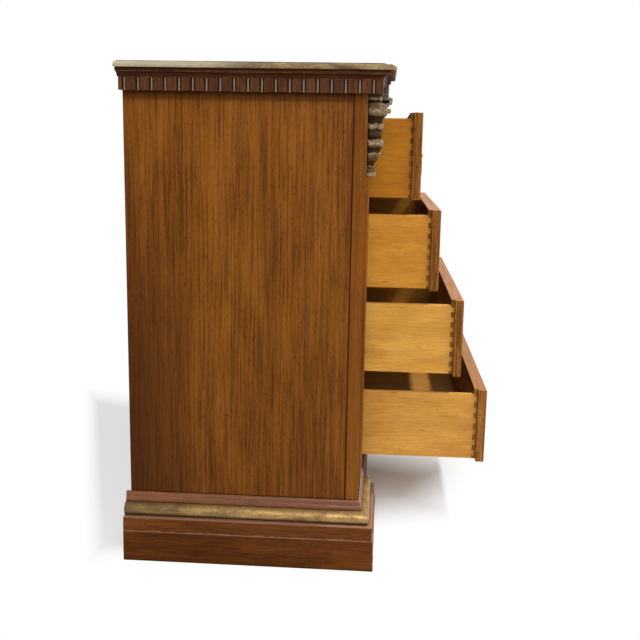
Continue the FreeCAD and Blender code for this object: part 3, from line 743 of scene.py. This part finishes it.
# %% Corbel levels
CARVED_LEVELS = (
    # share of the height from the top, reach from the pilaster, width across, paleness with painted light
    # and shade
    (0.000, 0.60, 0.90, 0.90), (0.050, 0.60, 0.90, 0.90), (0.058, 0.52, 0.80, 0.00),
    (0.075, 0.54, 0.80, 0.10), (0.090, 0.72, 0.92, 0.75), (0.130, 0.82, 0.98, 0.60),
    (0.180, 0.92, 1.00, 0.90), (0.240, 0.76, 0.95, 0.55), (0.256, 0.64, 0.78, 0.00),
    (0.332, 0.60, 0.74, 0.05), (0.346, 0.68, 0.94, 0.90), (0.400, 0.68, 0.94, 0.70),
    (0.414, 0.60, 0.80, 0.05), (0.460, 0.64, 0.86, 0.25), (0.505, 0.60, 0.80, 0.10),
    (0.528, 0.56, 0.72, 0.00), (0.542, 0.70, 0.93, 0.95), (0.585, 0.74, 0.98, 0.80),
    (0.625, 0.66, 0.90, 0.45), (0.642, 0.58, 0.76, 0.00), (0.686, 0.54, 0.72, 0.05),
    (0.700, 0.62, 0.84, 0.75), (0.752, 0.54, 0.80, 0.50), (0.810, 0.38, 0.74, 0.10),
    (0.848, 0.28, 0.68, 0.10), (0.868, 0.30, 0.64, 0.75), (0.890, 0.38, 0.74, 0.20),
    (0.908, 0.38, 0.72, 0.90), (0.926, 0.32, 0.66, 0.10), (0.950, 0.42, 0.74, 0.90),
    (0.985, 0.40, 0.70, 0.75), (1.000, 0.32, 0.66, 0.40),
)
corbel_low, corbel_high = (Vector(c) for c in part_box("left_corbel"))
corbel_size = corbel_high - corbel_low
level_heights = [corbel_high.z - corbel_size.z * level[0] for level in CARVED_LEVELS]
print("corbel", [round(v * 1000, 1) for v in corbel_size], "mm,", len(level_heights), "levels")

# %% Saw the block
COLUMNS = 13
CHEEK_COLUMNS = 7


def saw(place, across):
    """Cuts the whole mesh in edit mode along a plane."""
    bpy.ops.mesh.select_all(action="SELECT")
    bpy.ops.mesh.bisect(plane_co=place, plane_no=across)


bpy.ops.object.select_all(action="DESELECT")
bpy.ops.mesh.primitive_cube_add(size=1.0, location=(corbel_low + corbel_high) / 2, scale=corbel_size)
left_carving = bpy.context.object
left_carving.name = "left_corbel_carving"
bpy.ops.object.transform_apply(location=True, rotation=True, scale=True)
bpy.ops.object.mode_set(mode="EDIT")
for height in level_heights[1:-1]:
    saw((0.0, 0.0, height), (0.0, 0.0, 1.0))
for count in range(1, COLUMNS):
    saw((corbel_low.x + corbel_size.x * count / COLUMNS, 0.0, 0.0), (1.0, 0.0, 0.0))
for count in range(1, CHEEK_COLUMNS):
    saw((0.0, corbel_low.y + corbel_size.y * count / CHEEK_COLUMNS, 0.0), (0.0, 1.0, 0.0))
print("sawn into", len(bmesh.from_edit_mesh(left_carving.data).verts), "points")

# %% [markdown]
# A carver cuts flutes down the leaves with a gouge. They could be a bump in the finish, but a bump has no
# outline and is lost in the mesh. So every second saw line of a fluted band is pushed in, on the front and
# on both cheeks. The levels are drawn in and out after that, and the flutes follow them.

# %% Cut the flutes
FLUTED_BANDS = (
    # share of the height where the band starts, share where it ends, depth of the flutes on the cheeks
    (0.085, 0.24, 0.0016), (0.41, 0.51, 0.0010), (0.535, 0.63, 0.0012), (0.70, 0.86, 0.0012))
FRONT_FLUTE_SHARE = 1.6
SAME_LINE = 0.0002


def select_points(test):
    """Selects the points of the mesh in edit mode whose place passes a test."""
    mesh = bmesh.from_edit_mesh(bpy.context.object.data)
    bpy.ops.mesh.select_mode(type="VERT")
    for vert in mesh.verts:
        vert.select = test(vert.co)
    mesh.select_flush_mode()
    bmesh.update_edit_mesh(bpy.context.object.data)


def odd_strip(place, low, size, columns):
    """True on every second saw line."""
    return round((place - low) / (size / columns)) % 2 == 1


for first, last, depth in FLUTED_BANDS:
    top, bottom = corbel_high.z - corbel_size.z * first, corbel_high.z - corbel_size.z * last
    select_points(lambda p: bottom < p.z < top and p.y < corbel_low.y + SAME_LINE
                  and odd_strip(p.x, corbel_low.x, corbel_size.x, COLUMNS))
    bpy.ops.transform.translate(value=(0.0, depth * FRONT_FLUTE_SHARE, 0.0))
    for side, edge_x in ((-1.0, corbel_low.x), (1.0, corbel_high.x)):
        select_points(lambda p: bottom < p.z < top and abs(p.x - edge_x) < SAME_LINE
                      and odd_strip(p.y, corbel_low.y, corbel_size.y, CHEEK_COLUMNS))
        bpy.ops.transform.translate(value=(-side * depth, 0.0, 0.0))
print("fluted bands", len(FLUTED_BANDS))

# %% Draw the levels in and out
SMOOTH_ANGLE = 0.7
middle_x = (corbel_low.x + corbel_high.x) / 2


def round_off(piece):
    """Rounds the selected piece by one subdivision and shades it smooth."""
    rounding = piece.modifiers.new("rounding", "SUBSURF")
    rounding.levels = rounding.render_levels = 1
    bpy.ops.object.modifier_apply(modifier=rounding.name)
    bpy.ops.object.shade_smooth_by_angle(angle=SMOOTH_ANGLE)


for height, (drop, reach, width, paleness) in zip(level_heights, CARVED_LEVELS):
    select_points(lambda p: abs(p.z - height) < SAME_LINE)
    bpy.ops.transform.resize(value=(width, reach, 1.0), center_override=(middle_x, corbel_high.y, height))
bpy.ops.object.mode_set(mode="OBJECT")
round_off(left_carving)
print("carved", len(left_carving.data.polygons), "faces")

# %% [markdown]
# The leaf's tip rolls forward over the collar as a small lobed roll. It could be drawn out of the carving,
# but its lobes run across the other lines. So it is a short rod that is sawn into lobes and swollen between
# the cuts, then joined to the carving.

# %% Leaf roll
ROLL_RADIUS = 0.0044
ROLL_WIDTH = 0.052
ROLL_SIDES = 20
ROLL_DROP_SHARE = 0.172
ROD_SHARE = 0.82
LOBE_SWELL_SHARE = 1.2
LOBES = 7
roll_height = corbel_high.z - corbel_size.z * ROLL_DROP_SHARE
roll_place = Vector((middle_x, corbel_low.y + ROLL_RADIUS, roll_height))
roll_start = roll_place.x - ROLL_WIDTH / 2
bpy.ops.object.select_all(action="DESELECT")
bpy.ops.mesh.primitive_cylinder_add(vertices=ROLL_SIDES, radius=ROLL_RADIUS * ROD_SHARE, depth=ROLL_WIDTH,
                                    location=roll_place, rotation=(0.0, math.pi / 2, 0.0))
roll = bpy.context.object
roll.name = "leaf_roll"
bpy.ops.object.transform_apply(location=True, rotation=True, scale=True)
bpy.ops.object.mode_set(mode="EDIT")
for count in range(1, LOBES * 2):
    saw((roll_start + ROLL_WIDTH * count / (LOBES * 2), 0.0, 0.0), (1.0, 0.0, 0.0))
for count in range(LOBES):
    line_x = roll_start + ROLL_WIDTH * (count + 0.5) / LOBES
    select_points(lambda p: abs(p.x - line_x) < SAME_LINE)
    bpy.ops.transform.resize(value=(1.0, LOBE_SWELL_SHARE, LOBE_SWELL_SHARE),
                             center_override=(line_x, roll_place.y, roll_place.z))
bpy.ops.object.mode_set(mode="OBJECT")
round_off(roll)
print("leaf roll", len(roll.data.polygons), "faces")

# %% Join the roll to the carving
bpy.ops.object.select_all(action="DESELECT")
roll.select_set(True)
left_carving.select_set(True)
bpy.context.view_layer.objects.active = left_carving
bpy.ops.object.join()
print("carving with its roll", len(left_carving.data.polygons), "faces")

# %% [markdown]
# The right corbel is the left one seen in a mirror. It could be carved again, but a copy is sure to match.
# It gets a mesh of its own, which is turned over across the middle of the chest. That turns its faces
# inwards, so they are made to point outwards again.

# %% Right corbel
bpy.ops.object.select_all(action="DESELECT")
left_carving.select_set(True)
bpy.context.view_layer.objects.active = left_carving
bpy.ops.object.duplicate(linked=False)
right_carving = bpy.context.object
right_carving.name = "right_corbel_carving"
bpy.ops.object.mode_set(mode="EDIT")
bpy.ops.mesh.select_all(action="SELECT")
bpy.ops.transform.resize(value=(-1.0, 1.0, 1.0), center_override=(0.0, 0.0, 0.0))
bpy.ops.mesh.normals_make_consistent(inside=False)
bpy.ops.object.mode_set(mode="OBJECT")
print("right corbel", [round(v, 3) for v in right_carving.dimensions])

# %% [markdown]
# The carving is painted grey brown and given a dry pale colour with a brush, which stays on the high places,
# while the hollows keep dark glaze. The paleness also holds painted light and shade: dark bands stand partly
# for shade in the hollows, and the top block is painted pale against the cornice's shadow. The high places
# could be found by their shape, but a brush follows the bands of the carving. So the paleness comes from
# the same table of levels, moved a little by noise.

# %% Paint of the carving
UNSTEADY_SHARE = 0.018
carved_finish = wood("carved_finish", "z", streak=0.6, rubbed=0.9, dirt_and_shade_share=1.0, gloss=0.55,
                     light=tone(118, 92, 62), middle=tone(84, 61, 38), dark=tone(36, 23, 11),
                     worn=tone(206, 184, 150))
tree = carved_finish.node_tree
places = tree.nodes.new("ShaderNodeTexCoord").outputs["Object"]
below_top = add_math(tree, "SUBTRACT", corbel_high.z, axes_of(tree, "Object")["Z"])
drop_share = add_math(tree, "DIVIDE", below_top, corbel_size.z)
unsteady = add_range(tree, add_noise(tree, places, 160.0), 0.2, 0.8, -UNSTEADY_SHARE, UNSTEADY_SHARE)
brush_and_light = tree.nodes.new("ShaderNodeValToRGB")
tree.links.new(add_math(tree, "ADD", drop_share, unsteady), brush_and_light.inputs["Fac"])
stops = brush_and_light.color_ramp.elements
stops[0].position, stops[1].position = CARVED_LEVELS[0][0], CARVED_LEVELS[-1][0]
for drop, reach, width, paleness in CARVED_LEVELS[1:-1]:
    stops.new(drop)
for stop, (drop, reach, width, paleness) in zip(stops, CARVED_LEVELS):
    stop.color = (paleness, paleness, paleness, 1.0)
print("paint with", len(stops), "levels of paleness")

# %% Glaze, dry brush and painted light and shade
base_colour = tree.nodes["Principled BSDF"].inputs["Base Color"]
painted = base_colour.links[0].from_socket
# Dark glaze with painted shade on the dark bands, dry pale paint with painted light on the pale ones.
glaze_and_shade_share = add_range(tree, brush_and_light.outputs["Color"], 0.0, 0.5, 0.85, 0.0)
glazed_and_shaded = add_mix(tree, glaze_and_shade_share, painted, tone(34, 22, 12))
brush_noise = add_noise(tree, places, 240.0, detail=4.0, roughness=0.65, distortion=0.5)
brush_marks = add_range(tree, brush_noise, 0.4, 0.6, 0.15, 0.75)
high_places = add_range(tree, brush_and_light.outputs["Color"], 0.45, 0.9)
tree.links.new(lay_over(tree, glazed_and_shaded, high_places, brush_marks, tone(188, 166, 132)), base_colour)
for carving, node in ((left_carving, "left_corbel"), (right_carving, "right_corbel")):
    carving.data.materials.clear()
    carving.data.materials.append(carved_finish)
    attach(carving, "case")
    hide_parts(node)
dress(carved_finish, "left_corbel", "right_corbel")
print("carving finished in", carved_finish.name)
